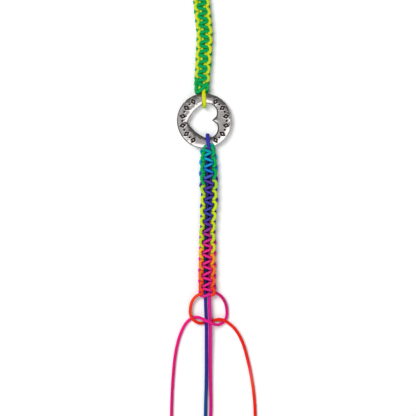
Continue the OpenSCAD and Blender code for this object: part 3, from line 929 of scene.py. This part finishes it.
def knotting_cord(band, name, knotted, route, tight, first, dyes, end_node):
    """A knotting cord: its knotted stretch in the band, whose diameter goes from first to
    tight, and its loose end. knotted has the stretch's points and where half knots begin."""
    points, begins = knotted
    points, end = band.placed(points), band.end_route(route)
    dye = by_length(dyes[0], np.vstack([points, end[:1]]), begins)
    held, loose = split_path(np.vstack([points, end]), len(end))
    piece = cord_piece(name, held, tight, dye, band, end_diameters=(first, KNOT_D),
                       start_run=FIRST_RUN)
    held_piece(piece, band.node)
    loose_end(name, loose, KNOT_D, dyes[1], end_node)


def core_cord(band, name, across, leg, route, dyes, end_node):
    """A core strand: from its leg of the ring's loop, straight through the band, and loose."""
    straight = [[across, down, band.core_height] for down in np.arange(5, band.length - 3, 6)]
    end = band.end_route(route)
    held, loose = split_path(np.vstack([band.placed(leg + straight), end]), len(end))
    piece = cord_piece(name, held, TIGHT_CORE_D, dyes[0], band, squash=CORE_SQUASH,
                       end_diameters=(CORE_D, CORE_D))
    held_piece(piece, band.node)
    loose_end(name, loose, CORE_D, dyes[1], end_node)


def loose_end(name, path, diameter, dye, node):
    """A cord's loose end, melted round at its tip."""
    piece = cord_piece(name + "_end", path, diameter, dye, melted=True)
    held_piece(piece, node)


def ring_loop(name, node, way, across, dye):
    """The core cord folded round the ring: from the band over the ring's face, half a circle
    down through the heart hole, and back under the ring."""
    near, far, top = extent(node)
    radius = CORE_D / 2
    over = top - radius
    bend = (over - radius) / 2
    bend_at = near + radius + bend - LOOP_SLACK
    turn = np.radians(np.arange(90, 271, 15))
    onto = [[far, 2 * BAND_MIDDLE - radius], [far - 0.7, over - 0.35], [far - 2, over]]
    bent = np.transpose([bend_at + bend * np.cos(turn), radius + bend * (1 + np.sin(turn))])
    spine = np.vstack([onto, bent, [[far - 2, radius], [far, radius]]])
    x = np.interp(spine[:, 0], [bend_at, far], [across[1], across[0]])
    path = smooth_path(np.stack([x, way * spine[:, 0], spine[:, 1]], axis=1))
    held_piece(cord_piece(name, path, CORE_D, dye, squash=LOOP_SQUASH), node)


# The scene

def camera_above():
    """A long lens straight above, whose picture is VIEW_WIDTH wide at the bands' height."""
    data = bpy.data.cameras.new("camera")
    data.sensor_width = 36
    data.lens = data.sensor_width * (VIEW_HEIGHT - BAND_MIDDLE) / VIEW_WIDTH
    data.clip_start, data.clip_end = 0.05, 20
    camera = bpy.data.objects.new("camera", data)
    camera.location = np.array([*VIEW_MIDDLE, VIEW_HEIGHT]) * MM
    bpy.context.scene.collection.objects.link(camera)
    bpy.context.scene.camera = camera


def table():
    """The white card that the bracelet lies on, just under the lowest cord."""
    half, level = 2500, -0.03
    corners = np.array([[x, y, level] for x, y in ((-half, -half), (half, -half), (half, half),
                                                   (-half, half))])
    piece = make_piece("white_table", corners, [[0, 1, 2, 3]], {}, white_card())


def studio_light():
    """One large soft lamp at the upper left, and a pale room that the ring mirrors.

    The room is bright towards the picture's lower right, dark towards its upper right, dim
    overhead and else nearly black at the horizon, which draws the ring's edges. The ring
    doesn't mirror the lamp, whose glare would whiten its upper left.
    """
    data = bpy.data.lights.new("soft_lamp", "AREA")
    data.shape, data.size, data.energy = "DISK", LAMP_SIZE, LAMP_WATTS
    lamp = bpy.data.objects.new("soft_lamp", data)
    lamp.location = LAMP_PLACE
    lamp.rotation_mode = "QUATERNION"
    lamp.rotation_quaternion = Vector(-LAMP_PLACE).to_track_quat("-Z", "Y")
    lamp.visible_glossy = False
    bpy.context.scene.collection.objects.link(lamp)
    world = bpy.data.worlds.new("pale_room")
    world.use_nodes = True
    tree = world.node_tree
    view = add_node(tree, "ShaderNodeTexCoord").outputs["Generated"]
    up = add_node(tree, "ShaderNodeSeparateXYZ", {"Vector": view}).outputs["Z"]

    def smooth(value, low, high):
        """0 to 1 as a value goes from low to high."""
        return mapped(tree, value, low, high, curve="SMOOTHSTEP")

    def towards(x, y, low, high):
        """0 to 1 as the view turns from low to high along a level direction."""
        along = add_node(tree, "ShaderNodeVectorMath", {0: view, 1: (x, y, 0)},
                         operation="DOT_PRODUCT")
        return smooth(along.outputs["Value"], low, high)

    sides = mixed(tree, towards(0.5, -0.87, 0.0, 0.3), 0.42, 1.3)
    sides = mixed(tree, towards(0.42, 0.91, 0.03, 0.3), sides, 0.1)
    horizon = mixed(tree, towards(0.7, -0.7, 0.1, 0.5), 0.03, 0.7)
    overhead = mixed(tree, smooth(up, 0.945, 0.99), sides, 0.38)
    light = mixed(tree, smooth(up, 0.42, 0.62), horizon, overhead)
    background = tree.nodes["Background"]
    tree.links.new(light, background.inputs["Color"])
    background.inputs["Strength"].default_value = ROOM_LIGHT
    bpy.context.scene.world = world


camera_above()
bpy.context.scene.view_settings.view_transform = "Standard"

upper = Band("upper_band", 1, UPPER_DRIFT, UPPER_CUSPS, UPPER_MIDDLES, UPPER_FRONT_REACH,
             UPPER_BACK_REACH, UPPER_HALF, UPPER_DEEP, UPPER_OPEN, UPPER_CORE_HEIGHT)
lower = Band("lower_band", -1, LOWER_DRIFT, LOWER_CUSPS, LOWER_MIDDLES, LOWER_FRONT_REACH,
             LOWER_BACK_REACH, LOWER_HALF, LOWER_DEEP, LOWER_OPEN, LOWER_CORE_HEIGHT)

knotting_cord(
    upper, "upper_front_cord", front_points(upper, UPPER_FRONT_START, UPPER_FRONT_FINISH),
    UPPER_KNOT_LEFT_ROUTE, UPPER_FRONT_D, UPPER_FRONT_D, (GREEN_DYE, GREEN_END_DYE),
    "upper_knot_tail_left")
knotting_cord(
    upper, "upper_back_cord", back_points(upper, UPPER_BACK_START, UPPER_BACK_FINISH),
    UPPER_KNOT_RIGHT_ROUTE, TIGHT_D, TIGHT_D, (YELLOW_DYE, YELLOW_END_DYE),
    "upper_knot_tail_right")
knotting_cord(
    lower, "lower_front_cord", front_points(lower, LOWER_FRONT_START, []), KNOT_FRONT_ROUTE,
    LOWER_FRONT_D, LOWER_FRONT_FIRST_D, (LOWER_FRONT_DYE, PINK_END_DYE_AND_SHADE),
    "knot_strand_front")
knotting_cord(
    lower, "lower_back_cord", back_points(lower, LOWER_BACK_START, []), KNOT_BACK_ROUTE,
    TIGHT_D, LOWER_BACK_FIRST_D, (LOWER_BACK_DYE, RED_END_DYE),
    "knot_strand_back")
core_cord(upper, "upper_left_core", -CORE_APART, UPPER_LEFT_LEG, UPPER_CORE_LEFT_ROUTE,
          (UPPER_CORE_DYE, UPPER_CORE_END_DYE),
          "upper_core_tail_left")
core_cord(upper, "upper_right_core", CORE_APART, UPPER_RIGHT_LEG, UPPER_CORE_RIGHT_ROUTE,
          (UPPER_CORE_DYE, UPPER_CORE_END_DYE),
          "upper_core_tail_right")
core_cord(lower, "lower_left_core", -CORE_APART, LOWER_LEFT_LEG, CORE_LEFT_ROUTE,
          (LOWER_CORE_LEFT_DYE, BLUE_END_DYE), "core_strand_left")
core_cord(lower, "lower_right_core", CORE_APART, LOWER_RIGHT_LEG, CORE_RIGHT_ROUTE,
          (LOWER_CORE_RIGHT_DYE, PINK_CORE_DYE),
          "core_strand_right")
ring_loop("yellow_ring_loop", "upper_ring_loop", 1, UPPER_LOOP_ACROSS, UPPER_LOOP_DYE)
ring_loop("blue_ring_loop", "lower_ring_loop", -1, LOWER_LOOP_ACROSS, LOWER_LOOP_DYE)
held_piece(ring_piece(antiqued_pewter()), "ring_charm")
table()
studio_light()
